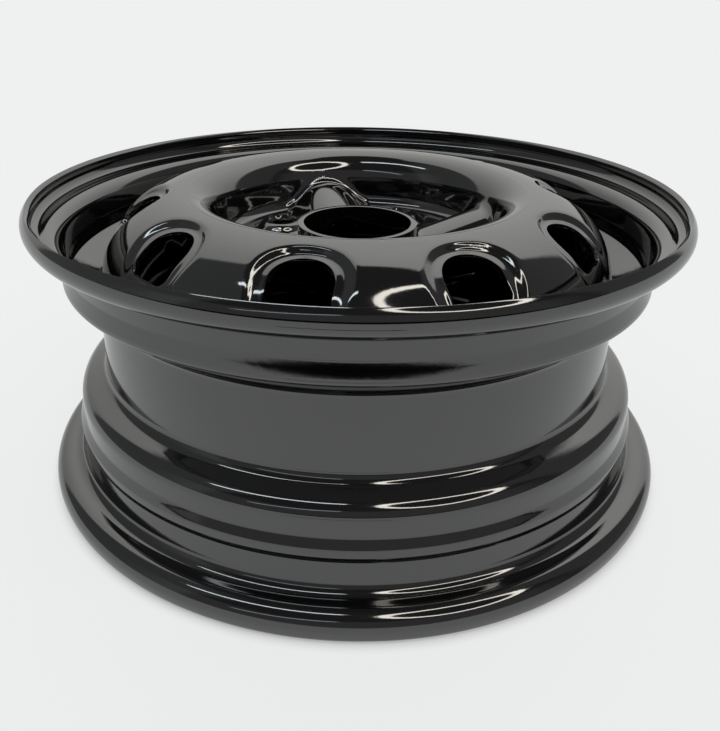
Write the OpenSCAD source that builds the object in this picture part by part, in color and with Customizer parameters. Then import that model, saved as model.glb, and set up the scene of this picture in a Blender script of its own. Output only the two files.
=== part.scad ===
// Pressed steel road wheel: a rolled drop-centre rim with a stamped disc welded into its well.
// The wheel lies on its inboard flange. Z is the axle line and the outboard face is up.

/* [Rim] */
// Nominal bead seat diameter, at the heel of the seat
bead_seat_d = 354.8; // [340:0.2:370]
// Width between the two flange faces
rim_w = 152.4; // [146:0.1:160]
// Height of each flange above the bead seat
flange_h = 17.3; // [16:0.1:20]
// Distance that each flange lip reaches out past its flange face
lip_reach = 10.2; // [9.8:0.1:14]
// Radius of the curl on each flange
flange_curl = 9.5; // [8:0.1:9.7]
// Radius at the heel of each bead seat
heel_radius = 6.5; // [5:0.1:7.5]
// Thickness of the rolled rim strip
rim_wall = 2.8; // [2:0.1:3.4]
// Taper of the bead seats in degrees
seat_taper = 5; // [4:0.5:6]
// Width of each bead seat, from the flange face to the foot of its hump
seat_w = 24; // [20:0.5:26]
// Height of the safety hump above the end of the seat
hump_h = 1.7; // [1:0.1:2.2]
// Width of the flat top of each hump
hump_w = 4; // [3:0.5:5]
// Width of each flank of the humps
hump_flank = 3; // [2:0.5:4]
// Width of the ledge between the inboard hump and the well
inboard_ledge_w = 14; // [8:0.5:18]
// Fall from the inboard hump to that ledge
ledge_drop = 2.1; // [1.5:0.1:4]
// Outer diameter of the well floor
well_d = 316.6; // [310:0.2:322]
// Width of the flat well floor, inboard edge to outboard edge
well_w = 38; // [32:0.5:42]
// Width of the sloping inboard side of the well
inboard_slope_w = 16; // [12:0.5:18]
// Width of the shoulder between the outboard hump and the well
outboard_shoulder_w = 5.5; // [4:0.5:8]
// Radius of the corners of the well
well_radius = 7; // [4:0.5:9]
// Radius of the corners of the humps and ledge
hump_radius = 3; // [2:0.1:3.4]
// Radius of the shoulder beside the outboard hump
shoulder_radius = 4; // [3:0.5:6]

/* [Valve hole] */
// Diameter of the valve hole in the outboard side of the well
valve_d = 11.5; // [8:0.1:16]
// Angle of the valve hole from the first bolt hole
valve_angle = 108; // [100:1:134]

/* [Disc] */
// Thickness of the disc sheet
disc_wall = 3.6; // [2.5:0.1:4.5]
// Gap between the skirt of the disc and the well
skirt_gap = 0.1; // [0:0.05:0.3]
// Distance from the mid plane of the rim out to the hub face
offset_et = 46; // [38:0.5:52]
// Length of the skirt that lies in the well
skirt_len = 31.5; // [24:0.5:36]
// Radius of the outer slope of the crown
slope_radius = 48.3; // [40:0.1:54]
// Radius of the inner edge of the crown
crown_radius = 18.4; // [12:0.1:22]
// Height of the crown above the bowl floor
crown_h = 35.8; // [28:0.1:38]
// Draft of the bowl wall in degrees
bowl_draft = 10; // [4:0.5:16]
// Radius at the foot of the bowl wall
bowl_fillet = 8; // [5:0.5:11]

/* [Hub face] */
// Diameter of the centre bore
bore_d = 67.1; // [54:0.1:74]
// Height of the centre collar above the bowl floor
collar_h = 13.2; // [8:0.1:16]
// Radius at the root of the collar
collar_fillet = 2.5; // [1:0.5:2.5]
// Number of wheel bolts
lug_count = 4; // [4:1:5]
// Pitch circle diameter of the bolt holes
lug_pcd = 114.3; // [108:0.1:118]
// Diameter of each bolt hole
lug_hole_d = 15.6; // [13:0.1:16.4]
// Diameter of the conical nut seat at its top
lug_seat_d = 18.6; // [17:0.1:19]
// Full angle of the nut seat cone in degrees
lug_cone = 60; // [60:5:90]
// Diameter of the flat top of each bolt boss
boss_top_d = 25.6; // [22:0.1:25.6]
// Height of each bolt boss above the bowl floor
boss_h = 5.2; // [3:0.1:7]
// Draft of the sides of each bolt boss in degrees
boss_draft = 40; // [20:1:40]

/* [Arched ribs] */
// Width of each rib between the bolts, at the foot of the bowl wall
rib_w = 50; // [40:0.5:56]
// Width of each rib at its shoulders
rib_shoulder_w = 38; // [32:0.5:42]
// Width of the flat crest of each rib
rib_crest_w = 20; // [12:0.5:26]
// Height of the rib shoulders above the bowl floor, at the bowl wall
rib_shoulder_h = 10.5; // [8:0.5:12]
// Height of the rib crest above the bowl floor, at the bowl wall
rib_h = 16; // [13:0.5:18]
// Height of the rib crest at the collar
rib_root_h = 2; // [1:0.1:4]

/* [Windows] */
// Number of ventilation windows
window_count = 10; // [8:1:11]
// Width of each window
window_w = 33; // [24:0.5:36]
// Length of each window, measured along a radius of the wheel
window_len = 28.2; // [24:0.2:30]
// Distance from the skirt in to the outer end of each window
window_edge = 7.8; // [6:0.2:10]
// Radius of the outer corners of the windows
window_corner = 7; // [3:0.5:9]
// Width of the sunk band round the curved end of each window
pad_margin = 3.8; // [2:0.1:6]
// Depth of the sunk band below the crown, at its inner end
pad_depth = 5; // [3:0.1:6.5]
// Radius of the sunk band, seen in section
pad_radius = 46; // [42:0.5:48]
// Draft of the step round the sunk band in degrees
pad_draft = 35; // [20:1:38]

/* [Welds] */
// Number of weld beads between disc and rim
weld_count = 8; // [4:1:12]
// Length of each weld bead
weld_len = 45; // [20:1:60]
// Height of each weld bead along the well
weld_leg = 5; // [3:0.1:7]

/* [Hidden] */
paint = [0.06, 0.06, 0.065];

$fn = 96;
over = 1;

flange_r = bead_seat_d / 2 + flange_h;
seat_r = bead_seat_d / 2;
well_r = well_d / 2;
overall_w = rim_w + 2 * lip_reach;
seat_end_r = seat_r - seat_w * tan(seat_taper);
hump_r = seat_end_r + hump_h;
ledge_r = hump_r - ledge_drop;

inboard_face_z = lip_reach;
outboard_face_z = overall_w - lip_reach;
inboard_hump_z = inboard_face_z + seat_w;
ledge_z = inboard_hump_z + 2 * hump_flank + hump_w;
well_inboard_z = ledge_z + inboard_ledge_w + inboard_slope_w;
well_outboard_z = well_inboard_z + well_w;
outboard_hump_z = outboard_face_z - seat_w;
shoulder_z = outboard_hump_z - hump_flank - hump_w - outboard_shoulder_w;

skirt_r = well_r - rim_wall - skirt_gap;
hub_face_z = overall_w / 2 + offset_et;
floor_z = hub_face_z + disc_wall;
crown_z = floor_z + crown_h;
skirt_top_z = crown_z - slope_radius;
skirt_end_z = skirt_top_z - skirt_len;
crown_r = skirt_r - slope_radius;
collar_r = bore_d / 2 + disc_wall;
collar_z = floor_z + collar_h;
bowl_top_r = crown_r - crown_radius;
bowl_foot_r = bowl_top_r - (crown_h - crown_radius) * tan(bowl_draft);

lug_step = 360 / lug_count;
window_step = 360 / window_count;

// The sunk bands follow a turned surface that runs out just below the top of the skirt
run_out = disc_wall / 12;
window_outer_r = skirt_r - window_edge;
window_inner_r = window_outer_r - window_len;
band_centre_r = skirt_r + run_out - pad_radius;
pad_inner_r = window_inner_r - pad_margin;
band_centre_z = crown_z - pad_depth - sqrt(pow(pad_radius, 2) - pow(pad_inner_r - band_centre_r, 2));

// Each window is pierced square to the line from the inner end of its band to its own outer end
function band_z(r) = band_centre_z + sqrt(pow(pad_radius, 2) - pow(r - band_centre_r, 2));
window_drop = band_z(pad_inner_r) - band_z(window_outer_r);
window_tilt = atan2(window_drop, window_outer_r - pad_inner_r);
window_end_x = (window_outer_r - pad_inner_r) / cos(window_tilt);
window_half = window_w / 2;
window_round_x = pad_margin + window_half;

// The tools that press and pierce the windows reach this far in and out of the slope
punch_reach = window_half;

function unit(v) = v / norm(v);
function left_of(a, b) = let (d = unit(b - a)) [-d[1], d[0]];
function turn(a, b, c) = sign(cross(b - a, c - b));
function flat2(p) = [p[0], p[1]];

// Corner i of a path of [r, z, fillet] corners, moved to the left by t
function moved_corner(path, i, t) =
    let (
        p = flat2(path[i]),
        last = len(path) - 1,
        before = i == 0 ? left_of(p, flat2(path[1])) : left_of(flat2(path[i - 1]), p),
        after = i == last ? before : left_of(p, flat2(path[i + 1]))
    )
    p + t * (before + after) / (1 + before * after);

// A path of corners moved to the left by t, with the fillets grown or shrunk to match
function moved_path(path, t) =
    let (last = len(path) - 1)
    [
        for (i = [0 : last])
            let (
                p = moved_corner(path, i, t),
                bend = i == 0 || i == last ? 0 : turn(flat2(path[i - 1]), flat2(path[i]), flat2(path[i + 1]))
            )
            [p[0], p[1], path[i][2] - t * bend]
    ];

function reversed(points) = [for (i = [len(points) - 1 : -1 : 0]) points[i]];

// Start, end, centre and bend of the fillet at one corner of a closed outline that runs anticlockwise
function fillet_at(corners, i) =
    let (
        n = len(corners),
        a = flat2(corners[(i + n - 1) % n]),
        b = flat2(corners[i]),
        c = flat2(corners[(i + 1) % n]),
        to_a = unit(a - b),
        to_c = unit(c - b),
        half_angle = acos(to_a * to_c) / 2,
        reach = corners[i][2] / tan(half_angle)
    )
    [b + to_a * reach, b + to_c * reach, b + unit(to_a + to_c) * corners[i][2] / sin(half_angle), turn(a, b, c)];

// The part of a fillet's circle that lies beyond the chord across its corner
module fillet_piece(corners, i) {
    radius = corners[i][2];
    fillet = fillet_at(corners, i);
    out = unit((fillet[0] + fillet[1]) / 2 - fillet[2]) * radius;
    intersection() {
        translate(fillet[2]) circle(r = radius);
        polygon([fillet[0], fillet[1], fillet[1] + out, fillet[0] + out]);
    }
}

// A closed outline of [r, z, fillet] corners with true arcs at its filleted corners
module rounded_outline(corners) {
    last = len(corners) - 1;
    difference() {
        union() {
            polygon([
                for (i = [0 : last])
                    let (fillet = fillet_at(corners, i))
                    each corners[i][2] > 0 ? [fillet[0], fillet[1]] : [flat2(corners[i])]
            ]);
            for (i = [0 : last]) if (corners[i][2] > 0 && fillet_at(corners, i)[3] > 0) fillet_piece(corners, i);
        }
        for (i = [0 : last]) if (corners[i][2] > 0 && fillet_at(corners, i)[3] < 0) fillet_piece(corners, i);
    }
}

// Tyre side of the rim, from the inboard lip to the outboard lip
rim_path = [
    [flange_r, 0, 0],
    [flange_r, inboard_face_z, flange_curl],
    [seat_r, inboard_face_z, heel_radius],
    [seat_end_r, inboard_hump_z, hump_radius],
    [hump_r, inboard_hump_z + hump_flank, hump_radius],
    [hump_r, inboard_hump_z + hump_flank + hump_w, hump_radius],
    [ledge_r, ledge_z, hump_radius],
    [ledge_r, ledge_z + inboard_ledge_w, well_radius],
    [well_r, well_inboard_z, well_radius],
    [well_r, well_outboard_z, well_radius],
    [hump_r, shoulder_z, shoulder_radius],
    [hump_r, outboard_hump_z - hump_flank, hump_radius],
    [seat_end_r, outboard_hump_z, hump_radius],
    [seat_r, outboard_face_z, heel_radius],
    [flange_r, outboard_face_z, flange_curl],
    [flange_r, overall_w, 0]
];

// Outboard side of the disc, from the end of its skirt to the top of its collar
function disc_path(extra) = [
    [skirt_r, skirt_end_z - extra, 0],
    [skirt_r, crown_z, slope_radius],
    [bowl_top_r, crown_z, crown_radius],
    [bowl_foot_r, floor_z, bowl_fillet],
    [collar_r, floor_z, collar_fillet],
    [collar_r, collar_z + extra, 0]
];

module around(count, first = 0) {
    for (i = [0 : count - 1]) rotate([0, 0, first + i * 360 / count]) children();
}

// Everything under the plain turned surface of the disc, sunk by t
module turned_form(t, extra) {
    rotate_extrude()
        rounded_outline(concat(
            moved_path(disc_path(extra), t),
            [[0, collar_z + extra, 0], [0, skirt_end_z - extra, 0]]
        ));
}

// Everything under the surface that the sunk window bands follow, sunk by t
module band_form(t) {
    radius = pad_radius - t;
    rotate_extrude() {
        intersection() {
            translate([band_centre_r, band_centre_z]) circle(r = radius);
            translate([0, band_centre_z]) square([band_centre_r + pad_radius + over, pad_radius + over]);
        }
        translate([0, skirt_end_z - over]) square([band_centre_r + radius, band_centre_z - skirt_end_z + over]);
    }
}

// Places a window tool: x runs down the slope from the inner end of the band, z points out of the sheet
module on_slope() {
    translate([pad_inner_r, 0, band_z(pad_inner_r)]) rotate([0, window_tilt, 0]) children();
}

// Room above one window band: a round drafted end that runs out over the slope of the crown
module band_room(t) {
    half_foot = window_half + pad_margin + t / cos(pad_draft);
    half_low = half_foot - punch_reach * tan(pad_draft);
    half_high = half_foot + punch_reach * tan(pad_draft);
    on_slope() {
        translate([window_round_x, 0, -punch_reach]) cylinder(h = 2 * punch_reach, r1 = half_low, r2 = half_high);
        translate([window_round_x, 0, 0])
            rotate([90, 0, 90])
                linear_extrude(height = 2 * window_w)
                    polygon([
                        [-half_low, -punch_reach],
                        [half_low, -punch_reach],
                        [half_high, punch_reach],
                        [-half_high, punch_reach]
                    ]);
    }
}

// A drafted round boss that stands on the bowl floor, made smaller all round by t
module round_boss(foot_r, height, draft, t) {
    foot = foot_r - t / cos(draft) + over * tan(draft);
    top = foot_r - t / cos(draft) - (height - t) * tan(draft);
    translate([0, 0, floor_z - t - over])
        cylinder(h = height + over, r1 = foot + t * tan(draft), r2 = top);
}

// A rib with an arched section, whose crest climbs from the collar to the bowl wall
module rib(t) {
    climb = atan2(rib_h - rib_root_h, bowl_foot_r - collar_r);
    sunk_w = rib_w + (rib_w - rib_shoulder_w) / rib_shoulder_h * 2 * rib_h;
    section = [
        [sunk_w / 2, -2 * rib_h, 0],
        [rib_shoulder_w / 2, rib_shoulder_h, 0],
        [rib_crest_w / 2, rib_h, 0],
        [-rib_crest_w / 2, rib_h, 0],
        [-rib_shoulder_w / 2, rib_shoulder_h, 0],
        [-sunk_w / 2, -2 * rib_h, 0]
    ];
    translate([bowl_foot_r, 0, floor_z])
        rotate([0, -climb, 0])
            translate([-bowl_foot_r, 0, 0])
                rotate([90, 0, 90])
                    linear_extrude(height = bowl_top_r)
                        polygon([for (p = moved_path(section, t)) flat2(p)]);
}

// Everything under the pressed surface of the disc, sunk by t
module disc_form(t, extra) {
    boss_foot_r = boss_top_d / 2 + boss_h * tan(boss_draft);
    difference() {
        turned_form(t, extra);
        difference() {
            around(window_count) band_room(t);
            band_form(t);
        }
    }
    intersection() {
        around(lug_count, lug_step / 2) rib(t);
        translate([0, 0, floor_z - t - over]) cylinder(h = crown_radius + t, r = bowl_top_r);
    }
    around(lug_count)
        translate([lug_pcd / 2, 0, 0]) round_boss(boss_foot_r, boss_h, boss_draft, t);
}

// Window outline on the slope: a half round inner end and rounded outer corners
module window_shape() {
    corner_x = window_end_x - window_corner;
    corner_y = window_half - window_corner;
    translate([window_round_x, 0]) circle(d = window_w);
    translate([window_round_x, -window_half]) square([corner_x - window_round_x, window_w]);
    translate([window_round_x, -corner_y]) square([window_end_x - window_round_x, 2 * corner_y]);
    for (side = [-1, 1]) translate([corner_x, side * corner_y]) circle(r = window_corner);
}

module lug_hole() {
    seat_z = floor_z + boss_h;
    seat_depth = (lug_seat_d - lug_hole_d) / 2 / tan(lug_cone / 2);
    translate([lug_pcd / 2, 0, hub_face_z - over]) cylinder(h = boss_h + disc_wall + 2 * over, d = lug_hole_d);
    translate([lug_pcd / 2, 0, seat_z - seat_depth])
        cylinder(h = seat_depth + over, d1 = lug_hole_d, d2 = lug_seat_d + 2 * over * tan(lug_cone / 2));
}

module rim() {
    outboard_side = [hump_r - well_r, shoulder_z - well_outboard_z];
    lean = atan2(outboard_side[1], outboard_side[0]);
    valve_r = (well_r + hump_r - rim_wall) / 2;
    valve_z = (well_outboard_z + shoulder_z) / 2;
    color(paint)
        difference() {
            rotate_extrude() rounded_outline(concat(rim_path, reversed(moved_path(rim_path, rim_wall))));
            rotate([0, 0, valve_angle])
                translate([valve_r, 0, valve_z])
                    rotate([0, -lean, 0])
                        cylinder(h = 8 * rim_wall, d = valve_d, center = true);
        }
}

module disc() {
    color(paint)
        difference() {
            disc_form(0, 0);
            disc_form(disc_wall, over);
            around(window_count)
                on_slope()
                    translate([0, 0, -punch_reach])
                        linear_extrude(height = 2 * punch_reach) window_shape();
            around(lug_count) lug_hole();
        }
}

module disc_welds() {
    sweep = weld_len / (well_r - rim_wall) * 180 / PI;
    color(paint)
        around(weld_count, 180 / weld_count)
            rotate([0, 0, -sweep / 2])
                rotate_extrude(angle = sweep)
                    polygon([
                        [well_r - rim_wall, skirt_end_z],
                        [well_r - rim_wall, skirt_end_z - weld_leg],
                        [skirt_r - disc_wall * 0.4, skirt_end_z - weld_leg * 0.7],
                        [skirt_r - disc_wall, skirt_end_z]
                    ]);
}

rim();
disc();
disc_welds();
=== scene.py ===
"""Looks of the pressed steel road wheel.

It has smooth meshes for the rim, the disc and its welds, gloss black paint, a floor, lamps and a camera.
The pieces' sizes are in millimetres and become metres when a mesh is finished. The axle is Z, and +X
runs through a bolt hole.
"""

import logging
import math
from dataclasses import dataclass, field
from enum import Enum
from typing import Any, Callable, Sequence

import bmesh
import bpy
import numpy as np
from mathutils import Matrix, Vector

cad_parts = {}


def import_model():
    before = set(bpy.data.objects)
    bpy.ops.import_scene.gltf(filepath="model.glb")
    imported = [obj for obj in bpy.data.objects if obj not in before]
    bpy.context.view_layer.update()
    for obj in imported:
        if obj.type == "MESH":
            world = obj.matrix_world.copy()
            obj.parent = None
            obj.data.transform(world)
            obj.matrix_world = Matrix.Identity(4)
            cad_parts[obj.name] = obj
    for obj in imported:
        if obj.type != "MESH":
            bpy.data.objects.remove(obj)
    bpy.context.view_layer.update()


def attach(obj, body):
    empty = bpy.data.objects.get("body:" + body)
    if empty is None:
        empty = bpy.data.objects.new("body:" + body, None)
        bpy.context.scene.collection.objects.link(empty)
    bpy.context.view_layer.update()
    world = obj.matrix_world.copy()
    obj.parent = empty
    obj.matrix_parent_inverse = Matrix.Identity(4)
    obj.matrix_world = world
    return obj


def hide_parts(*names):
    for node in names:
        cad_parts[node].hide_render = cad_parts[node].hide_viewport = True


LOG = logging.getLogger("road_wheel")
MM = 0.001
SHORTEST = 1e-6
CLOSE = 1e-4
HALVINGS = 40
SHARP_EDGE = 50.0
Corner = tuple[float, float, float]
Colour = tuple[float, float, float]
Point = tuple[float, float]


class Side(Enum):
    """Which way a section's corner bends, for a section that runs anticlockwise round its solid."""

    CONVEX = 1
    CONCAVE = -1


@dataclass(frozen=True)
class Fillet:
    """A true arc at a corner of a section.

    Args:
        start: where the arc leaves the line before it.
        end: where it meets the line after it.
        centre: the arc's centre.
        radius: the arc's radius.
        side: whether the corner is convex or concave.
    """

    start: np.ndarray
    end: np.ndarray
    centre: np.ndarray
    radius: float
    side: Side


class Section:
    """An open radial section made of lines and arcs, with the metal on its left."""

    def __init__(self, corners: Sequence[Corner]) -> None:
        """Works out the arcs.

        Args:
            corners: radius, height and fillet of each corner; the ends have no fillet.
        """
        self.points = [np.array(c[:2], dtype=float) for c in corners]
        self.radii = [c[2] for c in corners]
        self.fillets = [self._fillet(i) for i in range(len(corners))]

    def _fillet(self, i: int) -> Fillet | None:
        """Returns the arc at corner i, or None at a sharp corner."""
        if i in (0, len(self.points) - 1) or self.radii[i] <= 0:
            return None
        a, b, c = self.points[i - 1 : i + 2]
        to_a = (a - b) / np.linalg.norm(a - b)
        to_c = (c - b) / np.linalg.norm(c - b)
        half = math.acos(float(to_a @ to_c)) / 2
        reach = self.radii[i] / math.tan(half)
        middle = (to_a + to_c) / np.linalg.norm(to_a + to_c)
        bend = (b - a)[0] * (c - b)[1] - (b - a)[1] * (c - b)[0]
        return Fillet(
            b + to_a * reach,
            b + to_c * reach,
            b + middle * self.radii[i] / math.sin(half),
            self.radii[i],
            Side.CONVEX if bend > 0 else Side.CONCAVE,
        )

    def trace(self, arc_step: float, line_step: float) -> list[Point]:
        """Samples the section.

        Args:
            arc_step: largest turn between two points of an arc, in degrees.
            line_step: longest stretch between two points of a line.

        Returns:
            The points in order, ends included.
        """
        out: list[np.ndarray] = [self.points[0]]
        for i in range(1, len(self.points)):
            fillet = self.fillets[i]
            goal = fillet.start if fillet else self.points[i]
            length = float(np.linalg.norm(goal - out[-1]))
            steps = max(1, math.ceil(length / line_step))
            base = out[-1]
            if length > SHORTEST:
                out.extend(base + (goal - base) * k / steps for k in range(1, steps + 1))
            if fillet:
                first = math.atan2(*(fillet.start - fillet.centre)[::-1])
                last = math.atan2(*(fillet.end - fillet.centre)[::-1])
                sweep = (last - first + math.pi) % (2 * math.pi) - math.pi
                steps = max(3, math.ceil(abs(math.degrees(sweep)) / arc_step))
                for k in range(1, steps + 1):
                    angle = first + sweep * k / steps
                    out.append(fillet.centre + fillet.radius * np.array([math.cos(angle), math.sin(angle)]))
        return [(float(p[0]), float(p[1])) for p in out]

    def moved(self, t: float) -> "Section":
        """Returns the section moved to its left by t, with fillets grown or shrunk to match."""
        last = len(self.points) - 1
        corners: list[Corner] = []
        for i, p in enumerate(self.points):
            normals = []
            if i > 0:
                d = (p - self.points[i - 1]) / np.linalg.norm(p - self.points[i - 1])
                normals.append(np.array([-d[1], d[0]]))
            if i < last:
                d = (self.points[i + 1] - p) / np.linalg.norm(self.points[i + 1] - p)
                normals.append(np.array([-d[1], d[0]]))
            n1, n2 = normals[0], normals[-1]
            q = p + t * (n1 + n2) / (1 + float(n1 @ n2))
            fillet = self.fillets[i]
            radius = self.radii[i] - t * fillet.side.value if fillet else 0.0
            corners.append((float(q[0]), float(q[1]), radius))
        return Section(corners)

    def distance(self, r: np.ndarray, z: np.ndarray) -> np.ndarray:
        """Signed distance from the section, negative in the metal.

        Args:
            r: radii of the points.
            z: heights of the points.

        Returns:
            One distance a point.
        """
        best = np.full(r.shape, np.inf)
        signed = np.zeros(r.shape)
        start = self.points[0]
        for i in range(1, len(self.points)):
            fillet = self.fillets[i]
            end = fillet.start if fillet else self.points[i]
            d = end - start
            length = float(np.linalg.norm(d))
            if length > SHORTEST:
                d = d / length
                along = np.clip((r - start[0]) * d[0] + (z - start[1]) * d[1], 0, length)
                gap = np.hypot(r - start[0] - along * d[0], z - start[1] - along * d[1])
                side = (r - start[0]) * d[1] - (z - start[1]) * d[0]
                closer = gap < best
                signed = np.where(closer, np.copysign(gap, side), signed)
                best = np.minimum(best, gap)
            if fillet:
                vr, vz = r - fillet.centre[0], z - fillet.centre[1]
                middle = (fillet.start + fillet.end) / 2 - fillet.centre
                middle = middle / np.linalg.norm(middle)
                reach = float((fillet.start - fillet.centre) @ middle)
                size = np.maximum(np.hypot(vr, vz), 1e-9)
                inside = (vr * middle[0] + vz * middle[1]) / size >= reach / fillet.radius
                gap = np.where(inside, np.abs(size - fillet.radius), np.inf)
                side = (size - fillet.radius) * fillet.side.value
                closer = gap < best
                signed = np.where(closer, np.copysign(gap, side), signed)
                best = np.minimum(best, gap)
                start = fillet.end
            else:
                start = self.points[i]
        return signed


def soft_max(a: np.ndarray, b: np.ndarray, k: float) -> np.ndarray:
    """The larger of two distances, with the crease between them rounded over a width k."""
    h = np.clip(k - np.abs(a - b), 0, None) / k
    return np.maximum(a, b) + h * h * k / 4


def soft_min(a: np.ndarray, b: np.ndarray, k: float) -> np.ndarray:
    """The smaller of two distances, with the crease between them rounded over a width k."""
    return -soft_max(-a, -b, k)


def lengths(path: Sequence[Point]) -> np.ndarray:
    """Returns the distance along a path at each of its points."""
    return np.concatenate([[0], np.cumsum([math.dist(a, b) for a, b in zip(path, path[1:])])])


def settle(
    distance: Callable[[np.ndarray], np.ndarray],
    start: np.ndarray,
    way: np.ndarray,
    travel: Point,
) -> np.ndarray:
    """Moves points along given directions until they lie on a surface.

    Args:
        distance: signed distance of an array of points, negative in the metal.
        start: the points.
        way: one unit direction a point, out of the metal.
        travel: how far every point is in the metal, and how far every one is outside it.

    Returns:
        The points on the surface.
    """
    a = np.full(len(start), travel[0])
    b = np.full(len(start), travel[1])
    for _ in range(HALVINGS):
        mid = (a + b) / 2
        outside = distance(start + way * mid[:, None]) > 0
        b = np.where(outside, mid, b)
        a = np.where(outside, a, mid)
    return start + way * ((a + b) / 2)[:, None]


def new_object(bm: bmesh.types.BMesh, name: str, material: bpy.types.Material) -> bpy.types.Object:
    """Turns a bmesh into an object in the scene.

    Args:
        bm: the mesh, freed here.
        name: the object's name.
        material: its finish.

    Returns:
        The new object.
    """
    mesh = bpy.data.meshes.new(name)
    bm.to_mesh(mesh)
    bm.free()
    mesh.materials.append(material)
    item = bpy.data.objects.new(name, mesh)
    bpy.context.scene.collection.objects.link(item)
    return item


def finished(
    bm: bmesh.types.BMesh,
    name: str,
    node: str,
    material: bpy.types.Material,
) -> bpy.types.Object:
    """Turns a bmesh in millimetres into a shaded piece that stands for a CAD node.

    Args:
        bm: the mesh, freed here.
        name: the piece's name.
        node: the CAD node it replaces.
        material: its finish.

    Returns:
        The new object.
    """
    bmesh.ops.scale(bm, vec=(MM, MM, MM), verts=bm.verts)
    piece = new_object(bm, name, material)
    piece.data.shade_smooth()
    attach(piece, "root")
    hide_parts(node)
    LOG.info("%s: %d faces", name, len(piece.data.polygons))
    return piece


def round_edges(piece: bpy.types.Object, width: float, segments: int) -> None:
    """Bevels the sharp edges of a piece.

    Args:
        piece: the object.
        width: the bevel's width in millimetres.
        segments: the steps across it.
    """
    edge = piece.modifiers.new("edges", "BEVEL")
    edge.width = width * MM
    edge.segments = segments
    edge.limit_method = "ANGLE"
    edge.angle_limit = math.radians(SHARP_EDGE)


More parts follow.
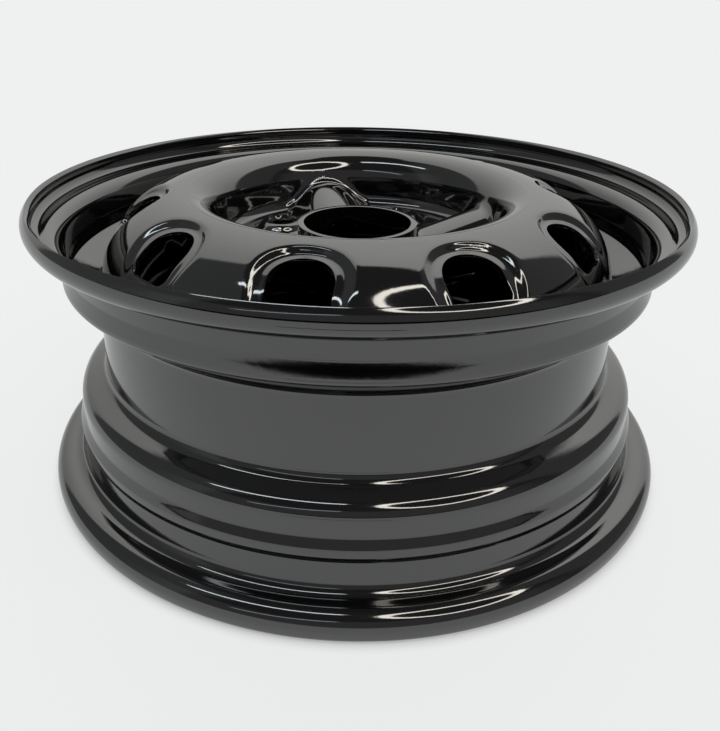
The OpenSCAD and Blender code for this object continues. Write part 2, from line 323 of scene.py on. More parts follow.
@dataclass
class Rim:
    """The rolled drop-centre rim, in millimetres."""

    overall: float = 172.8
    flange_r: float = 194.7
    lip_reach: float = 16.6
    lip_turn: float = 42.0
    flange_curl: float = 9.5
    heel: float = 6.5
    seat_r: float = 177.4
    seat_end_r: float = 175.3
    low_seat_end: float = 33.1
    high_seat_end: float = 140.5
    hump_r: float = 176.9
    hump_radius: float = 3.0
    low_crest: Point = (36.3, 40.9)
    high_crest: Point = (129.3, 132.5)
    shoulder_radius: float = 4.0
    ledge_r: float = 174.5
    ledge: Point = (46.3, 61.5)
    slope_radius: float = 10.0
    well_r: float = 158.3
    well: Point = (68.8, 115.7)
    well_radius: float = 7.0
    wall: float = 2.8
    valve_angle: float = 108.0
    valve_d: float = 11.5
    valve_at: Point = (165.9, 119.6)
    valve_lean: float = -53.4
    valve_corners: tuple[int, int] = (10, 11)
    valve_passes: int = 12
    patch_half: float = 4.9
    patch_slack: float = 0.05
    edge_round: float = 0.84
    edge_steps: int = 3
    arc_step: float = 7.0
    line_step: float = 4.5
    steps: int = 288

    def tyre_side(self) -> Section:
        """Returns the section of the tyre side, from the inboard lip to the outboard lip."""
        low = self.lip_reach
        high = self.overall - self.lip_reach
        turn = math.radians(self.lip_turn)
        bend = self.lip_reach - self.flange_curl * (1 + math.tan(turn / 2))
        lip_r = self.flange_r - bend * math.tan(turn)
        return Section(
            [
                (lip_r, 0, 0),
                (self.flange_r, bend, self.flange_curl),
                (self.flange_r, low, self.flange_curl),
                (self.seat_r, low, self.heel),
                (self.seat_end_r, self.low_seat_end, self.hump_radius),
                (self.hump_r, self.low_crest[0], self.hump_radius),
                (self.hump_r, self.low_crest[1], self.hump_radius),
                (self.ledge_r, self.ledge[0], self.hump_radius),
                (self.ledge_r, self.ledge[1], self.slope_radius),
                (self.well_r, self.well[0], self.well_radius),
                (self.well_r, self.well[1], self.well_radius),
                (self.hump_r, self.high_crest[0], self.shoulder_radius),
                (self.hump_r, self.high_crest[1], self.hump_radius),
                (self.seat_end_r, self.high_seat_end, self.hump_radius),
                (self.seat_r, high, self.heel),
                (self.flange_r, high, self.flange_curl),
                (self.flange_r, self.overall - bend, self.flange_curl),
                (lip_r, self.overall, 0),
            ]
        )

    def _valve_hole(self, bm: bmesh.types.BMesh, skins: tuple[Section, Section]) -> None:
        """Pierces the valve hole at angle 0, in the steep side of the well.

        Args:
            bm: the spun rim.
            skins: the tyre side and the inner side.
        """
        lean = math.radians(self.valve_lean)
        axis = Vector((math.cos(lean), 0, math.sin(lean)))
        across = Vector((-math.sin(lean), 0, math.cos(lean)))
        middle = Vector((self.valve_at[0], 0, self.valve_at[1]))
        foot, shoulder = self.valve_corners
        rings = []
        for skin in skins:
            low, high = skin.fillets[foot].end, skin.fillets[shoulder].start
            way = (high - low) / np.linalg.norm(high - low)
            out = Vector((way[1], 0, -way[0]))
            patch = {f for f in bm.faces if self._on_patch(f, low, high, out)}
            border = [e for e in bm.edges if sum(f in patch for f in e.link_faces) == 1]
            bmesh.ops.delete(bm, geom=list(patch), context="FACES")
            ring = bmesh.ops.create_circle(bm, segments=len(border), radius=self.valve_d / 2)["verts"]
            for v in ring:
                p = middle + across * v.co.x + Vector((0, v.co.y, 0))
                for _ in range(self.valve_passes):
                    p -= axis * (self._lift(p, low, out) / axis.dot(out))
                v.co = p
            edge = list(dict.fromkeys(e for v in ring for e in v.link_edges))
            bmesh.ops.bridge_loops(bm, edges=border + edge)
            rings.append(edge)
        bmesh.ops.bridge_loops(bm, edges=rings[0] + rings[1])

    @staticmethod
    def _lift(p: Vector, foot: np.ndarray, out: Vector) -> float:
        """Height of a point over the steep side, along its normal."""
        return (p.xy.length - foot[0]) * out.x + (p.z - foot[1]) * out.z

    def _on_patch(self, face: bmesh.types.BMFace, low: np.ndarray, high: np.ndarray, out: Vector) -> bool:
        """Tells whether a face is in the patch of the steep side that the valve hole takes up.

        Args:
            face: the face.
            low: the inboard end of the steep side.
            high: its outboard end.
            out: its normal.

        Returns:
            True if it is.
        """
        centre = face.calc_center_median()
        if abs(math.degrees(math.atan2(centre.y, centre.x))) >= self.patch_half:
            return False
        slack = self.patch_slack
        return all(
            abs(self._lift(v.co, low, out)) < slack and low[1] - slack < v.co.z < high[1] + slack
            for v in face.verts
        )

    def build(self, paint: bpy.types.Material) -> bpy.types.Object:
        """Spins the section into the rim and pierces its valve hole.

        Args:
            paint: the finish.

        Returns:
            The rim's object.
        """
        skins = (self.tyre_side(), self.tyre_side().moved(self.wall))
        outer, inner = (skin.trace(self.arc_step, self.line_step) for skin in skins)
        bm = bmesh.new()
        loop = [bm.verts.new((r, 0, z)) for r, z in outer + inner[::-1]]
        edges = [bm.edges.new((a, b)) for a, b in zip(loop, loop[1:] + loop[:1])]
        bmesh.ops.spin(
            bm,
            geom=loop + edges,
            axis=(0, 0, 1),
            cent=(0, 0, 0),
            angle=2 * math.pi,
            steps=self.steps,
            use_merge=True,
        )
        bmesh.ops.remove_doubles(bm, verts=bm.verts, dist=CLOSE)
        self._valve_hole(bm, skins)
        turn = Matrix.Rotation(math.radians(self.valve_angle), 3, "Z")
        bmesh.ops.rotate(bm, verts=bm.verts, cent=(0, 0, 0), matrix=turn)
        bmesh.ops.recalc_face_normals(bm, faces=bm.faces)
        piece = finished(bm, "rolled_rim", "rim", paint)
        round_edges(piece, self.edge_round, self.edge_steps)
        return piece


@dataclass
class Disc:
    """The stamped disc, in millimetres."""

    wall: float = 3.6
    skirt_r: float = 155.4
    skirt_end: float = 92.0
    floor: float = 136.0
    crown: float = 171.8
    slope_radius: float = 48.3
    crown_radius: float = 18.4
    draft: float = 10.0
    foot_radius: float = 8.0
    collar_r: float = 37.15
    collar_top: float = 149.2
    collar_root: float = 2.5
    windows: int = 10
    window_w: float = 33.0
    window_inner: float = 119.4
    window_outer: float = 147.6
    window_corner: float = 7.0
    pad_margin: float = 3.8
    pad_depth: float = 5.0
    pad_radius: float = 46.0
    pad_draft: float = 35.0
    run_out: float = 0.3
    lugs: int = 4
    lug_circle: float = 57.15
    lug_hole: float = 7.8
    lug_seat: float = 9.3
    lug_cone: float = 60.0
    boss_top: float = 12.8
    boss_h: float = 5.2
    boss_draft: float = 40.0
    rib_w: float = 50.0
    rib_shoulder_w: float = 38.0
    rib_crest_w: float = 20.0
    rib_shoulder_h: float = 10.5
    rib_h: float = 16.0
    rib_root_h: float = 2.0
    rib_spread: float = 2.3
    rib_depth: float = 2.0
    recess_soft: Point = (2.5, 3.5)
    boss_soft: Point = (2.5, 1.2)
    rib_soft: tuple[float, float, float] = (5.0, 6.0, 5.0)
    skirt_tail: float = 30.0
    collar_tail: float = 20.0
    join_r: float = 104.5
    mesh_low: float = 118.0
    kept_r: float = 60.0
    focus_h: float = 80.0
    step: float = 1.8
    arc_step: float = 1.5
    line_step: float = 2.0
    crown_rows: int = 21
    crown_rings: int = 22
    crown_travel: Point = (-60.0, 25.0)
    bowl_rows: int = 37
    bowl_rings: int = 28
    bowl_travel: Point = (-6.0, 40.0)
    seam: float = 0.02
    edge_round: float = 0.5
    edge_steps: int = 2
    section: Section = field(init=False)
    bowl_foot: float = field(init=False)
    band_r: float = field(init=False)
    band_z: float = field(init=False)
    tilt: float = field(init=False)
    seat: np.ndarray = field(init=False)
    down: np.ndarray = field(init=False)
    out: np.ndarray = field(init=False)
    window_end: float = field(init=False)
    round_x: float = field(init=False)

    def __post_init__(self) -> None:
        """Works out the turned section and the frame of a window."""
        crown_r = self.skirt_r - self.slope_radius
        bowl_top = crown_r - self.crown_radius
        wall_h = self.crown - self.floor - self.crown_radius
        self.bowl_foot = bowl_top - wall_h * math.tan(math.radians(self.draft))
        self.section = Section(
            [
                (self.skirt_r, self.skirt_end - self.skirt_tail, 0),
                (self.skirt_r, self.crown, self.slope_radius),
                (bowl_top, self.crown, self.crown_radius),
                (self.bowl_foot, self.floor, self.foot_radius),
                (self.collar_r, self.floor, self.collar_root),
                (self.collar_r, self.collar_top + self.collar_tail, 0),
            ]
        )
        self.band_r = self.skirt_r + self.run_out - self.pad_radius
        inner = self.window_inner - self.pad_margin
        rise = math.sqrt(self.pad_radius**2 - (inner - self.band_r) ** 2)
        self.band_z = self.crown - self.pad_depth - rise
        drop = self._band_height(inner) - self._band_height(self.window_outer)
        self.tilt = math.atan2(drop, self.window_outer - inner)
        self.seat = np.array([inner, 0, self._band_height(inner)])
        self.down = np.array([math.cos(self.tilt), 0, -math.sin(self.tilt)])
        self.out = np.array([math.sin(self.tilt), 0, math.cos(self.tilt)])
        self.window_end = (self.window_outer - inner) / math.cos(self.tilt)
        self.round_x = self.pad_margin + self.window_w / 2

    def _band_height(self, r: float) -> float:
        """Height at radius r of the surface that the sunk bands follow."""
        return self.band_z + math.sqrt(self.pad_radius**2 - (r - self.band_r) ** 2)

    def crown_distance(self, p: np.ndarray) -> np.ndarray:
        """Signed distance from the pressed crown near the window at angle 0.

        Args:
            p: an array of points.

        Returns:
            One distance a point, negative in the metal.
        """
        r = np.hypot(p[:, 0], p[:, 1])
        turned = self.section.distance(r, p[:, 2])
        round_part = np.hypot(r - self.band_r, p[:, 2] - self.band_z) - self.pad_radius
        band = np.where(p[:, 2] > self.band_z, round_part, r - self.band_r - self.pad_radius)
        local = p - self.seat
        x, y, z = local @ self.down, np.abs(p[:, 1]), local @ self.out
        half = self.window_w / 2 + self.pad_margin
        edge = np.where(x < self.round_x, np.hypot(x - self.round_x, y), y) - half
        draft = math.radians(self.pad_draft)
        punch = (edge - z * math.tan(draft)) * math.cos(draft)
        foot, rim = self.recess_soft
        return soft_max(turned, soft_min(-punch, band, foot), rim)

    def bowl_distance(self, p: np.ndarray) -> np.ndarray:
        """Signed distance from the pressed bowl.

        Args:
            p: an array of points.

        Returns:
            One distance a point, negative in the metal.
        """
        r = np.hypot(p[:, 0], p[:, 1])
        out = self.section.distance(r, p[:, 2])
        turn = 2 * math.pi / self.lugs
        angle = np.arctan2(p[:, 1], p[:, 0])
        off = (angle + turn / 2) % turn - turn / 2
        x, y, h = r * np.cos(off), r * np.sin(off), p[:, 2] - self.floor
        boss_foot, boss_rim = self.boss_soft
        slope = math.radians(self.boss_draft)
        spread = self.boss_top + (self.boss_h - h) * math.tan(slope)
        side = (np.hypot(x - self.lug_circle, y) - spread) * math.cos(slope)
        boss = soft_max(side, h - self.boss_h, boss_rim)
        off = angle % turn - turn / 2
        along, across = r * np.cos(off), np.abs(r * np.sin(off))
        climb = math.atan2(self.rib_h - self.rib_root_h, self.bowl_foot - self.collar_r)
        up = h * math.cos(climb) - (along - self.bowl_foot) * math.sin(climb)
        rib = soft_max(up - self.rib_h, self._flank(across, up), self.rib_soft[2])
        return soft_min(soft_min(out, rib, self.rib_soft[0]), boss, boss_foot)

    def _flank(self, across: np.ndarray, up: np.ndarray) -> np.ndarray:
        """Distance from the two flanks of a rib's section."""
        flanks = None
        ends = [
            (self.rib_w / 2 + self.rib_spread * self.rib_h, -self.rib_depth * self.rib_h),
            (self.rib_shoulder_w / 2, self.rib_shoulder_h),
            (self.rib_crest_w / 2, self.rib_h),
        ]
        for (w0, h0), (w1, h1) in zip(ends, ends[1:]):
            size = math.hypot(w1 - w0, h1 - h0)
            plane = ((across - w0) * (h1 - h0) - (up - h0) * (w1 - w0)) / size
            flanks = plane if flanks is None else soft_max(flanks, plane, self.rib_soft[1])
        return flanks

    def _window_gap(self, x: float, y: float) -> float:
        """Signed distance from the window's outline on the slope, negative in the hole."""
        y = abs(y)
        half, corner = self.window_w / 2, self.window_corner
        if x < self.round_x:
            return math.hypot(x - self.round_x, y) - half
        if x > self.window_end - corner and y > half - corner:
            return math.hypot(x - self.window_end + corner, y - half + corner) - corner
        return max(y - half, x - self.window_end)

    def _lug_gap(self, x: float, y: float) -> float:
        """Signed distance from the edge of the nut seat, negative in the hole."""
        return math.hypot(x - self.lug_circle, y) - self.lug_seat

    @staticmethod
    def _ring_sheet(inner: list[Point], outer: list[Point], rings: int) -> bmesh.types.BMesh:
        """Joins two flat loops of as many points with a band of quads.

        Args:
            inner: the inner loop.
            outer: the outer loop, point for point.
            rings: rows of quads between them.

        Returns:
            The flat mesh.
        """
        bm = bmesh.new()
        loops = []
        for points in (inner, outer):
            verts = [bm.verts.new((x, y, 0)) for x, y in points]
            loops += [bm.edges.new((a, b)) for a, b in zip(verts, verts[1:] + verts[:1])]
        bmesh.ops.bridge_loops(bm, edges=loops)
        kept = set(loops)
        across = [e for e in bm.edges if e not in kept]
        bmesh.ops.subdivide_edges(bm, edges=across, cuts=rings - 1, use_grid_fill=True)
        return bm

    @staticmethod
    def _ray_out(inside: Callable[[float, float], float], centre: Point, goal: Point) -> Point:
        """The point where a line from the centre to the goal leaves an outline.

        Args:
            inside: signed distance from the outline.
            centre: a point in it.
            goal: a point outside it.

        Returns:
            The point on the outline.
        """
        a, b = 0.0, 1.0
        for _ in range(HALVINGS):
            mid = (a + b) / 2
            x, y = (c + (g - c) * mid for c, g in zip(centre, goal))
            a, b = (mid, b) if inside(x, y) < 0 else (a, mid)
        return tuple(c + (g - c) * a for c, g in zip(centre, goal))

    def crown_sector(self) -> bmesh.types.BMesh:
        """Returns the crown round one window, from the top of the bowl to the skirt."""
        half = 180 / self.windows
        across = round(2 * half / self.step)
        traced = self.section.trace(self.arc_step, self.line_step)
        run = [p for p in traced if p[0] >= self.join_r - SHORTEST and p[1] > self.skirt_end]
        run.append((self.join_r, self.crown))
        length = lengths(run)
        radii, heights = [p[0] for p in run], [p[1] for p in run]
        rows = np.linspace(float(np.interp(self.mesh_low, heights, length)), length[-1], self.crown_rows)
        side = list(zip(np.interp(rows, length, radii), np.interp(rows, length, heights)))
        angles = np.linspace(-half, half, across + 1)
        border = [(*side[0], a) for a in angles[:-1]] + [(*p, half) for p in side[:-1]]
        border += [(*side[-1], a) for a in angles[::-1][:-1]] + [(*p, -half) for p in side[::-1][:-1]]
        flat: list[Point] = []
        for r, z, a in border:
            turn = math.radians(a)
            p = np.array([r * math.cos(turn), r * math.sin(turn), z]) - self.seat
            flat.append((float(p @ self.down), float(p[1])))
        centre = ((self.pad_margin + self.window_end) / 2, 0.0)
        inner = [self._ray_out(self._window_gap, centre, goal) for goal in flat]
        bm = self._ring_sheet(inner, flat, self.crown_rings)
        plane = np.array([v.co[:] for v in bm.verts])
        start = self.seat + plane[:, :1] * self.down + plane[:, 1:2] * np.array([0, 1, 0])
        way = np.tile(self.out, (len(start), 1))
        placed = settle(self.crown_distance, start, way, self.crown_travel)
        for v, co in zip(bm.verts, placed):
            v.co = co
        return bm

    def bowl_sector(self) -> bmesh.types.BMesh:
        """Returns the quarter of the bowl round one bolt hole, from the crown to the top of the collar."""
        half = 180 / self.lugs
        across = round(2 * half / self.step)
        traced = self.section.trace(self.arc_step, self.line_step)
        run = [p for p in traced if p[0] < self.join_r and p[1] < self.collar_top]
        run = [(self.join_r, self.crown)] + run + [(self.collar_r, self.collar_top)]
        length = lengths(run)
        radii, heights = [p[0] for p in run], [p[1] for p in run]
        flat_r = self.kept_r + float(np.interp(-self.kept_r, [-r for r in radii], length)) - length
        rows = np.linspace(flat_r[0], flat_r[-1], self.bowl_rows)
        angles = np.radians(np.linspace(-half, half, across + 1))
        polar = [(rows[0], a) for a in angles[:-1]] + [(f, angles[-1]) for f in rows[:-1]]
        polar += [(rows[-1], a) for a in angles[::-1][:-1]] + [(f, angles[0]) for f in rows[::-1][:-1]]
        outer = [(float(f * math.cos(a)), float(f * math.sin(a))) for f, a in polar]
        centre = (self.lug_circle, 0.0)
        inner = [self._ray_out(self._lug_gap, centre, goal) for goal in outer]
        bm = self._ring_sheet(inner, outer, self.bowl_rings)
        plane = np.array([v.co[:] for v in bm.verts])
        flat = np.hypot(plane[:, 0], plane[:, 1])
        angle = np.arctan2(plane[:, 1], plane[:, 0])
        r = np.interp(flat, flat_r[::-1], radii[::-1])
        z = np.interp(flat, flat_r[::-1], heights[::-1])
        start = np.stack([r * np.cos(angle), r * np.sin(angle), z], axis=1)
        focus_r, focus_z = self.lug_circle, self.floor + self.focus_h
        way = np.stack([(focus_r - r) * np.cos(angle), (focus_r - r) * np.sin(angle), focus_z - z], axis=1)
        way /= np.linalg.norm(way, axis=1)[:, None]
        fixed = (flat > flat_r[0] - CLOSE) | (flat < flat_r[-1] + CLOSE)
        placed = np.where(fixed[:, None], start, settle(self.bowl_distance, start, way, self.bowl_travel))
        for v, co in zip(bm.verts, placed):
            v.co = co
        self._nut_seat(bm)
        return bm

    def _nut_seat(self, bm: bmesh.types.BMesh) -> None:
        """Rounds the bolt hole's edge and turns the conical nut seat down from it."""
        top = self.floor + self.boss_h
        ring = [
            e for e in bm.edges
            if e.is_boundary and all(self._lug_gap(v.co.x, v.co.y) < self.step for v in e.verts)
        ]
        for v in {v for e in ring for v in e.verts}:
            away = Vector((v.co.x - self.lug_circle, v.co.y, 0)).normalized() * self.lug_seat
            v.co = (self.lug_circle + away.x, away.y, top)
        depth = (self.lug_seat - self.lug_hole) / math.tan(math.radians(self.lug_cone / 2))
        new = bmesh.ops.extrude_edge_only(bm, edges=ring)["geom"]
        for v in [g for g in new if isinstance(g, bmesh.types.BMVert)]:
            away = Vector((v.co.x - self.lug_circle, v.co.y, 0)).normalized() * self.lug_hole
            v.co = (self.lug_circle + away.x, away.y, top - depth)

    def build(self, paint: bpy.types.Material) -> bpy.types.Object:
        """Repeats the sectors, closes the skirt and gives the sheet its thickness.

        Args:
            paint: the finish.

        Returns:
            The disc's object.
        """
        bm = bmesh.new()
        for sector, count in ((self.crown_sector(), self.windows), (self.bowl_sector(), self.lugs)):
            mesh = bpy.data.meshes.new("sector")
            sector.to_mesh(mesh)
            sector.free()
            for k in range(count):
                before = set(bm.verts)
                bm.from_mesh(mesh)
                fresh = [v for v in bm.verts if v not in before]
                turn = Matrix.Rotation(2 * math.pi * k / count, 3, "Z")
                bmesh.ops.rotate(bm, verts=fresh, cent=(0, 0, 0), matrix=turn)
            bpy.data.meshes.remove(mesh)
        bmesh.ops.remove_doubles(bm, verts=bm.verts, dist=self.seam)
        top, side = self.mesh_low + self.step, self.skirt_r - self.step
        low = [
            e for e in bm.edges
            if e.is_boundary and all(v.co.z < top and v.co.xy.length > side for v in e.verts)
        ]
        new = bmesh.ops.extrude_edge_only(bm, edges=low)["geom"]
        for v in [g for g in new if isinstance(g, bmesh.types.BMVert)]:
            v.co.z = self.skirt_end
        bmesh.ops.recalc_face_normals(bm, faces=bm.faces)
        highest = max(bm.faces, key=lambda f: f.calc_center_median().z)
        if highest.normal.z < 0:
            bmesh.ops.reverse_faces(bm, faces=bm.faces)
        piece = finished(bm, "stamped_disc", "disc", paint)
        sheet = piece.modifiers.new("sheet", "SOLIDIFY")
        sheet.thickness = self.wall * MM
        sheet.offset = -1
        round_edges(piece, self.edge_round, self.edge_steps)
        return piece


@dataclass
class Welds:
    """The fillet beads between the skirt's end and the well, in millimetres."""

    count: int = 8
    length: float = 45.0
    well_in: float = 155.5
    skirt_r: float = 155.4
    sheet: float = 3.6
    top: float = 92.0
    leg: float = 5.0
    toe_in: float = 0.4
    toe_up: float = 0.7
    clear: float = 0.02
    steps: int = 30

    def build(self, paint: bpy.types.Material) -> bpy.types.Object:
        """Spins each bead along its arc inside the well.

        Args:
            paint: the finish.

        Returns:
            The beads' object.
        """
        bm = bmesh.new()
        sweep = self.length / self.well_in
        outline = [
            (self.well_in - self.clear, self.top),
            (self.well_in - self.clear, self.top - self.leg),
            (self.skirt_r - self.sheet * self.toe_in, self.top - self.leg * self.toe_up),
            (self.skirt_r - self.sheet, self.top),
        ]
        for k in range(self.count):
            angle = 2 * math.pi * (k + 0.5) / self.count
            turn = Matrix.Rotation(angle - sweep / 2, 3, "Z")
            loop = [bm.verts.new(turn @ Vector((r, 0, z))) for r, z in outline]
            edges = [bm.edges.new((a, b)) for a, b in zip(loop, loop[1:] + loop[:1])]
            bmesh.ops.spin(
                bm,
                geom=[bm.faces.new(loop)] + loop + edges,
                axis=(0, 0, 1),
                cent=(0, 0, 0),
                angle=sweep,
                steps=self.steps,
            )
        bmesh.ops.remove_doubles(bm, verts=bm.verts, dist=CLOSE)
        bmesh.ops.recalc_face_normals(bm, faces=bm.faces)
        return finished(bm, "weld_beads", "disc_welds", paint)


class Wire:
    """A shader socket or number that takes part in Python expressions."""

    def __init__(self, nodes: "Nodes", value: Any) -> None:
        """Keeps the socket or number and the tree it belongs to."""
        self.nodes = nodes
        self.value = value

    def _math(self, operation: str, *values: Any) -> "Wire":
        """Adds one Math node.

        Args:
            operation: the node's operation.
            values: its inputs.

        Returns:
            The node's output.
        """
        inputs = {i: v for i, v in enumerate(values)}
        return self.nodes.add("ShaderNodeMath", {"operation": operation}, inputs)

    def __add__(self, other: Any) -> "Wire":
        """Returns self + other."""
        return self._math("ADD", self, other)

    def __sub__(self, other: Any) -> "Wire":
        """Returns self - other."""
        return self._math("SUBTRACT", self, other)

    def __rsub__(self, other: Any) -> "Wire":
        """Returns other - self."""
        return self._math("SUBTRACT", other, self)

    def __mul__(self, other: Any) -> "Wire":
        """Returns self * other."""
        return self._math("MULTIPLY", self, other)

    def __truediv__(self, other: Any) -> "Wire":
        """Returns self / other."""
        return self._math("DIVIDE", self, other)

    def __abs__(self) -> "Wire":
        """Returns the size of self."""
        return self._math("ABSOLUTE", self)

    __radd__ = __add__
    __rmul__ = __mul__

    def call(self, operation: str, *others: Any) -> "Wire":
        """Returns another Math operation on self, such as ARCSINE or MAXIMUM."""
        return self._math(operation, self, *others)

    def ramp(self, low: float, high: float, start: float = 0.0, end: float = 1.0) -> "Wire":
        """Eases from one number to another while self crosses a span.

        Args:
            low: where the span starts; it may lie above high.
            high: where the span ends.
            start: the result at low.
            end: the result at high.

        Returns:
            The eased number.
        """
        inputs = {"Value": self, "From Min": low, "From Max": high, "To Min": start, "To Max": end}
        return self.nodes.add("ShaderNodeMapRange", {"interpolation_type": "SMOOTHSTEP"}, inputs)

    def between(self, low: float, high: float, soft: float) -> "Wire":
        """Returns 1 between two numbers and 0 outside, with edges a width soft."""
        return self.ramp(low - soft, low + soft) * self.ramp(high + soft, high - soft)

    def tint(self, colour: Colour) -> "Wire":
        """Returns a colour times self."""
        return self.nodes.add("ShaderNodeVectorMath", {"operation": "SCALE"}, {0: colour, "Scale": self})

    def joined(self, other: "Wire") -> "Wire":
        """Returns the sum of two colours."""
        return self.nodes.add("ShaderNodeVectorMath", {"operation": "ADD"}, {0: self, 1: other})


class Nodes:
    """A node tree that is filled from one method."""

    def __init__(self, tree: bpy.types.NodeTree) -> None:
        """Empties the tree."""
        self.tree = tree
        tree.nodes.clear()

    def add(
        self,
        kind: str,
        settings: dict[str, Any] | None = None,
        inputs: dict[Any, Any] | None = None,
        out: Any = 0,
    ) -> Wire:
        """Adds a node, sets it up and links it.

        Args:
            kind: the node's type.
            settings: attributes, set first.
            inputs: socket names or numbers, with a value or a Wire each.
            out: which output to return.

        Returns:
            The chosen output.
        """
        node = self.tree.nodes.new(kind)
        for key, value in (settings or {}).items():
            setattr(node, key, value)
        for key, value in (inputs or {}).items():
            if isinstance(value, Wire):
                self.tree.links.new(value.value, node.inputs[key])
            else:
                node.inputs[key].default_value = value
        return Wire(self, node.outputs[out] if len(node.outputs) else None)


@dataclass(frozen=True)
class GlossPaint:
    """Gloss black paint over steel."""

    colour: Colour = (0.003, 0.003, 0.0032)
    roughness: float = 0.06
    gloss_index: float = 2.0
    peel_mm: float = 3.0
    peel_depth: float = 0.00001
    cloud_scale: float = 22.0
    cloud_change: float = 0.05

    def material(self) -> bpy.types.Material:
        """Returns the paint as a procedural material."""
        material = bpy.data.materials.new("gloss_black_paint")
        material.use_nodes = True
        nodes = Nodes(material.node_tree)
        place = nodes.add("ShaderNodeTexCoord", out="Object")
        fine = {"Vector": place, "Scale": 1000 / self.peel_mm, "Detail": 2.0, "Roughness": 0.5}
        peel = nodes.add("ShaderNodeTexNoise", {}, fine)
        wide = {"Vector": place, "Scale": self.cloud_scale, "Detail": 3.0}
        cloud = nodes.add("ShaderNodeTexNoise", {}, wide)
        bump = {"Height": peel, "Distance": self.peel_depth, "Strength": 1.0}
        normal = nodes.add("ShaderNodeBump", {}, bump)
        rough = (cloud - 0.5) * self.cloud_change + self.roughness
        shader = nodes.add(
            "ShaderNodeBsdfPrincipled",
            {},
            {"Base Color": (*self.colour, 1), "Roughness": rough, "Normal": normal, "IOR": self.gloss_index},
        )
        nodes.add("ShaderNodeOutputMaterial", {}, {"Surface": shader})
        return material


@dataclass(frozen=True)
class Tube:
    """A straight lamp under the ceiling.

    Args:
        start: one end, to the right and back of the wheel, for a ceiling at height 1.
        end: the other end.
        half_w: half its width at that height.
        strength: its brightness.
        colour: its colour.
    """

    start: Point
    end: Point
    half_w: float
    strength: float
    colour: Colour


@dataclass(frozen=True)
class Ring:
    """A ring lamp, with its place and sizes in degrees.

    Args:
        bearing: direction of its centre, 0 behind the wheel and 90 to its right.
        height: height of its centre.
        radius: radius of the ring.
        edge: distances from the ring's line where it is out and where it is full.
        strength: its brightness.
        colour: its colour.
    """

    bearing: float = 135.0
    height: float = 53.0
    radius: float = 17.5
    edge: Point = (2.4, 1.2)
    strength: float = 7.0
    colour: Colour = (1.0, 0.95, 0.86)


@dataclass(frozen=True)
class Wall:
    """A dim wall beside the backdrop.

    Args:
        bearings: where it starts and ends, in degrees.
        colour: its colour.
    """

    bearings: Point
    colour: Colour


WALLS = (
    Wall((-125.0, -62.0), (0.115, 0.12, 0.12)),
    Wall((58.0, 100.0), (0.105, 0.10, 0.098)),
)
TUBES = (
    Tube((-0.06, -0.34), (-0.72, -0.19), 0.035, 7.0, (0.86, 0.95, 1.0)),
    Tube((-0.2, -1.6), (-1.54, -1.97), 0.08, 2.0, (0.86, 0.95, 1.0)),
)


@dataclass(frozen=True)
class PaleFloor:
    """The floor's finish, with lengths in metres.

    In the gloss paint it ends past the camera, and a ragged dark strip lies in front of the wheel; both are
    painted reflection, dark marks that only the paint's reflections see.

    Args:
        matt: colour of the lit floor.
        glow: colour of its glow, which keeps it pale.
        seen: share of the glow for the camera.
        mirrored: strength of the glow in the paint.
        covered: radii between which the floor comes out from under the wheel; inside them the glow is left
            out, so the floor there shows only its ray-traced shade and is painted darker than round it.
        end: distances towards the camera where its mirror image is out and where it is full; this fade is a
            painted reflection, seen only in the paint.
        strip: nearer and farther edge of the dark strip, a painted dark reflection that only the paint sees.
        strip_soft: width over which those edges fade.
        strip_half: distances aside where the strip is out and where it is full.
        ragged_scale: scale of the noise on the strip's edges.
        ragged: size of that noise, aside and towards the camera.
    """

    matt: Colour = (0.86, 0.86, 0.85)
    glow: Colour = (0.92, 0.93, 0.935)
    seen: float = 0.82
    mirrored: float = 0.76
    covered: Point = (0.185, 0.2)
    end: Point = (1.25, 1.0)
    strip: Point = (0.366, 0.382)
    strip_soft: float = 0.004
    strip_half: Point = (0.11, 0.085)
    ragged_scale: float = 28.0
    ragged: Point = (0.05, 0.02)

    def material(self, turn: float) -> bpy.types.Material:
        """Makes the floor's material.

        Args:
            turn: angle of the view round the axle, in radians.

        Returns:
            The material.
        """
        material = bpy.data.materials.new("pale_floor")
        material.use_nodes = True
        nodes = Nodes(material.node_tree)
        matt = nodes.add("ShaderNodeBsdfDiffuse", {}, {"Color": (*self.matt, 1)})
        place = nodes.add("ShaderNodeTexCoord", out="Object")
        x, y = (nodes.add("ShaderNodeSeparateXYZ", {}, {"Vector": place}, out=axis) for axis in "XY")
        nearer = x * math.sin(turn) - y * math.cos(turn)
        aside = x * math.cos(turn) + y * math.sin(turn)
        # painted shade: the glow is left out under the wheel, so the floor there is darker than round it;
        # the shade that remains there is ray-traced
        uncovered = (x * x + y * y).call("SQRT").ramp(*self.covered)
        rough = {"Vector": place, "Scale": self.ragged_scale, "Detail": 4.0}
        noise = nodes.add("ShaderNodeTexNoise", {}, rough)
        # painted reflection: a ragged dark strip in front of the wheel that only the paint's reflections see
        depth = (nearer + noise * self.ragged[1]).between(*self.strip, self.strip_soft)
        strip = depth * abs(aside + noise * self.ragged[0]).ramp(*self.strip_half)
        kinds = ("Is Camera Ray", "Is Glossy Ray", "Is Transmission Ray")
        camera, glossy, clear = (nodes.add("ShaderNodeLightPath", out=kind) for kind in kinds)
        # painted reflection: the floor's glow in the paint fades out past the camera and has the dark strip
        # cut from it
        mirrored = nearer.ramp(*self.end) * (1 - strip) * uncovered * self.mirrored
        light = (mirrored * glossy + (1 - glossy)).tint(self.glow)
        glow = nodes.add("ShaderNodeEmission", {}, {"Color": light, "Strength": 1.0})
        share = (camera.call("MAXIMUM", clear) * self.seen * uncovered).call("MAXIMUM", glossy)
        mixed = nodes.add("ShaderNodeMixShader", {}, {0: share, 1: matt, 2: glow})
        nodes.add("ShaderNodeOutputMaterial", {}, {"Surface": mixed})
        return material


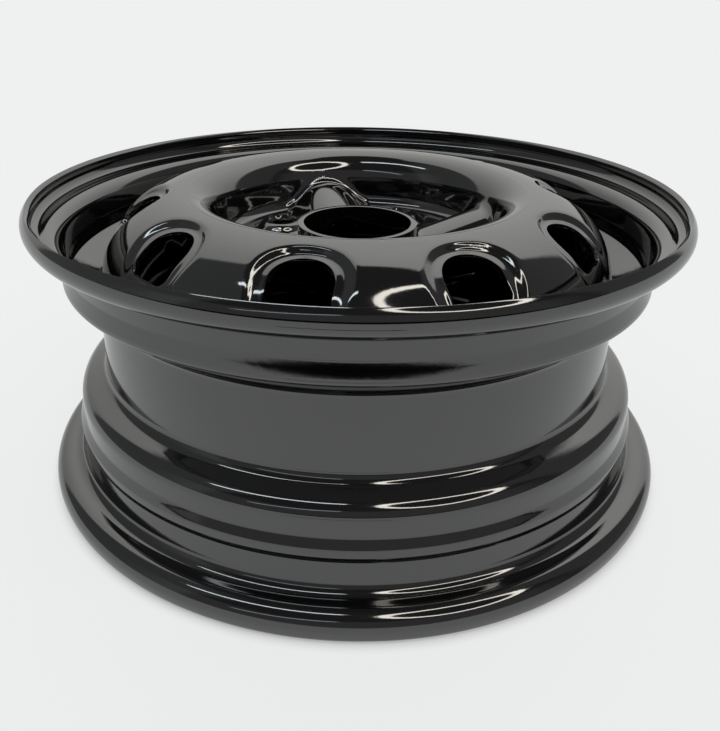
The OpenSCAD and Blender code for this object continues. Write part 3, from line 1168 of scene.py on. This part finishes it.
@dataclass
class Studio:
    """Floor, room and camera. Lengths here are in metres and angles of the room in degrees."""

    turn: float = 29.2
    camera_at: Point = (-0.4742, 0.2938)
    yaw: float = -0.00915554
    pitch: float = 0.40076445
    roll: float = 0.01167601
    focal_px: float = 788.895
    centre_px: Point = (349.408, 304.255)
    size_px: Point = (720, 731)
    film: float = 36.0
    near_clip: float = 0.01
    floor_half: float = 12.0
    background: Colour = (0.86, 0.86, 0.85)
    backdrop: Point = (-62.0, 58.0)
    backdrop_soft: float = 3.0
    backdrop_top: Point = (74.0, 71.0)
    backdrop_colour: Colour = (1.0, 1.0, 0.97)
    backdrop_rise: tuple[float, float, float, float] = (0.0, 60.0, 0.75, 1.5)
    backdrop_shift: tuple[float, float, float, float] = (-60.0, 15.0, 0.75, 1.0)
    wall_soft: float = 4.0
    wall_top: Point = (75.0, 60.0)
    front: Point = (95.0, 125.0)
    front_top: Point = (36.0, 30.0)
    front_colour: Colour = (0.11, 0.11, 0.115)
    dim: Colour = (0.07, 0.07, 0.072)

    def floor(self) -> None:
        """Makes the pale floor."""
        bm = bmesh.new()
        bmesh.ops.create_grid(bm, x_segments=1, y_segments=1, size=self.floor_half)
        floor = new_object(bm, "floor", PaleFloor().material(math.radians(self.turn)))

    def room(self) -> None:
        """Lights the wheel from a dim room with a tall white backdrop, a ring lamp and two tube lamps."""
        world = bpy.data.worlds.new("room")
        world.use_nodes = True
        nodes = Nodes(world.node_tree)
        seen_way = nodes.add("ShaderNodeTexCoord", out="Generated")
        turned = {"Vector": seen_way, "Angle": -math.radians(self.turn)}
        way = nodes.add("ShaderNodeVectorRotate", {"rotation_type": "Z_AXIS"}, turned)
        split = [nodes.add("ShaderNodeSeparateXYZ", {}, {"Vector": way}, out=axis) for axis in "XYZ"]
        height = split[2].call("ARCSINE") * math.degrees(1)
        bearing = split[0].call("ARCTAN2", split[1]) * math.degrees(1)
        total = self._walls(bearing, height)
        total = total.joined(self._ring(nodes, way, Ring()))
        for tube in TUBES:
            total = total.joined(self._tube(split, tube))
        seen = nodes.add("ShaderNodeLightPath", out="Is Camera Ray")
        colours = {0: seen, 6: total, 7: (*self.background, 1)}
        plain = nodes.add("ShaderNodeMix", {"data_type": "RGBA"}, colours, out=2)
        light = nodes.add("ShaderNodeBackground", {}, {"Color": plain, "Strength": 1.0})
        nodes.add("ShaderNodeOutputWorld", {}, {"Surface": light})
        bpy.context.scene.world = world

    def _walls(self, bearing: Wire, height: Wire) -> Wire:
        """The backdrop, the dim walls beside it and the front of the room.

        Args:
            bearing: direction in degrees, 0 behind the wheel and 90 to its right.
            height: degrees above the floor.

        Returns:
            The colour seen that way.
        """
        behind = bearing.between(*self.backdrop, self.backdrop_soft) * height.ramp(*self.backdrop_top)
        lift = height.ramp(*self.backdrop_rise) * bearing.ramp(*self.backdrop_shift)
        total = (behind * lift).tint(self.backdrop_colour)
        for wall in WALLS:
            beside = bearing.between(*wall.bearings, self.wall_soft) * height.ramp(*self.wall_top)
            total = total.joined((beside * (1 - behind)).tint(wall.colour))
        low = abs(bearing).ramp(*self.front) * height.ramp(*self.front_top)
        total = total.joined(low.tint(self.front_colour))
        return total.joined((1 - behind).tint(self.dim))

    def _ring(self, nodes: Nodes, way: Wire, ring: Ring) -> Wire:
        """A ring lamp.

        Args:
            nodes: the room's nodes.
            way: the direction.
            ring: the lamp.

        Returns:
            Its colour.
        """
        east, up = math.radians(ring.bearing), math.radians(ring.height)
        centre = (math.sin(east) * math.cos(up), math.cos(east) * math.cos(up), math.sin(up))
        ways = {0: way, 1: centre}
        off = nodes.add("ShaderNodeVectorMath", {"operation": "DOT_PRODUCT"}, ways, out="Value")
        gap = abs(off.call("ARCCOSINE") * math.degrees(1) - ring.radius)
        return (gap.ramp(*ring.edge) * ring.strength).tint(ring.colour)

    def _tube(self, split: list[Wire], tube: Tube) -> Wire:
        """A straight lamp under the ceiling.

        Args:
            split: the three parts of the direction.
            tube: the lamp.

        Returns:
            Its colour.
        """
        rise = split[2].call("MAXIMUM", 0.02)
        x, y = split[0] / rise - tube.start[0], split[1] / rise - tube.start[1]
        dx, dy = tube.end[0] - tube.start[0], tube.end[1] - tube.start[1]
        size = math.hypot(dx, dy)
        along = (x * (dx / size) + y * (dy / size)).call("MAXIMUM", 0.0).call("MINIMUM", size)
        gap_x, gap_y = x - along * (dx / size), y - along * (dy / size)
        gap = (gap_x * gap_x + gap_y * gap_y).call("SQRT")
        return (gap.ramp(tube.half_w * 1.3, tube.half_w * 0.7) * tube.strength).tint(tube.colour)

    def camera(self) -> None:
        """Places the camera where the photo was taken from."""
        cy, sy = math.cos(self.yaw), math.sin(self.yaw)
        cp, sp = math.cos(self.pitch), math.sin(self.pitch)
        ahead = Vector((sy * cp, cy * cp, -sp))
        right = Vector((cy, -sy, 0))
        up = right.cross(ahead)
        level_x = math.cos(self.roll) * right + math.sin(self.roll) * up
        level_y = -math.sin(self.roll) * right + math.cos(self.roll) * up
        pose = Matrix((level_x, level_y, -ahead)).transposed().to_4x4()
        data = bpy.data.cameras.new("camera")
        data.sensor_width = self.film
        data.lens = self.focal_px * self.film / self.size_px[1]
        data.shift_x = (self.size_px[0] / 2 - self.centre_px[0]) / self.size_px[1]
        data.shift_y = (self.centre_px[1] - self.size_px[1] / 2) / self.size_px[1]
        data.clip_start = self.near_clip
        camera = bpy.data.objects.new("camera", data)
        spin = Matrix.Rotation(math.radians(self.turn), 4, "Z")
        camera.matrix_world = spin @ Matrix.Translation((0, *self.camera_at)) @ pose
        bpy.context.scene.collection.objects.link(camera)
        bpy.context.scene.camera = camera

    def build(self) -> None:
        """Sets up the whole studio."""
        self.floor()
        self.room()
        bpy.context.scene.view_settings.view_transform = "Standard"
        self.camera()


def main() -> None:
    """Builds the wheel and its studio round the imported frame."""
    logging.basicConfig(level=logging.INFO, format="%(name)s: %(message)s")
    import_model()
    paint = GlossPaint().material()
    Rim().build(paint)
    Disc().build(paint)
    Welds().build(paint)
    Studio().build()
    LOG.info("wheel and studio built")


if __name__ == "__main__":
    main()
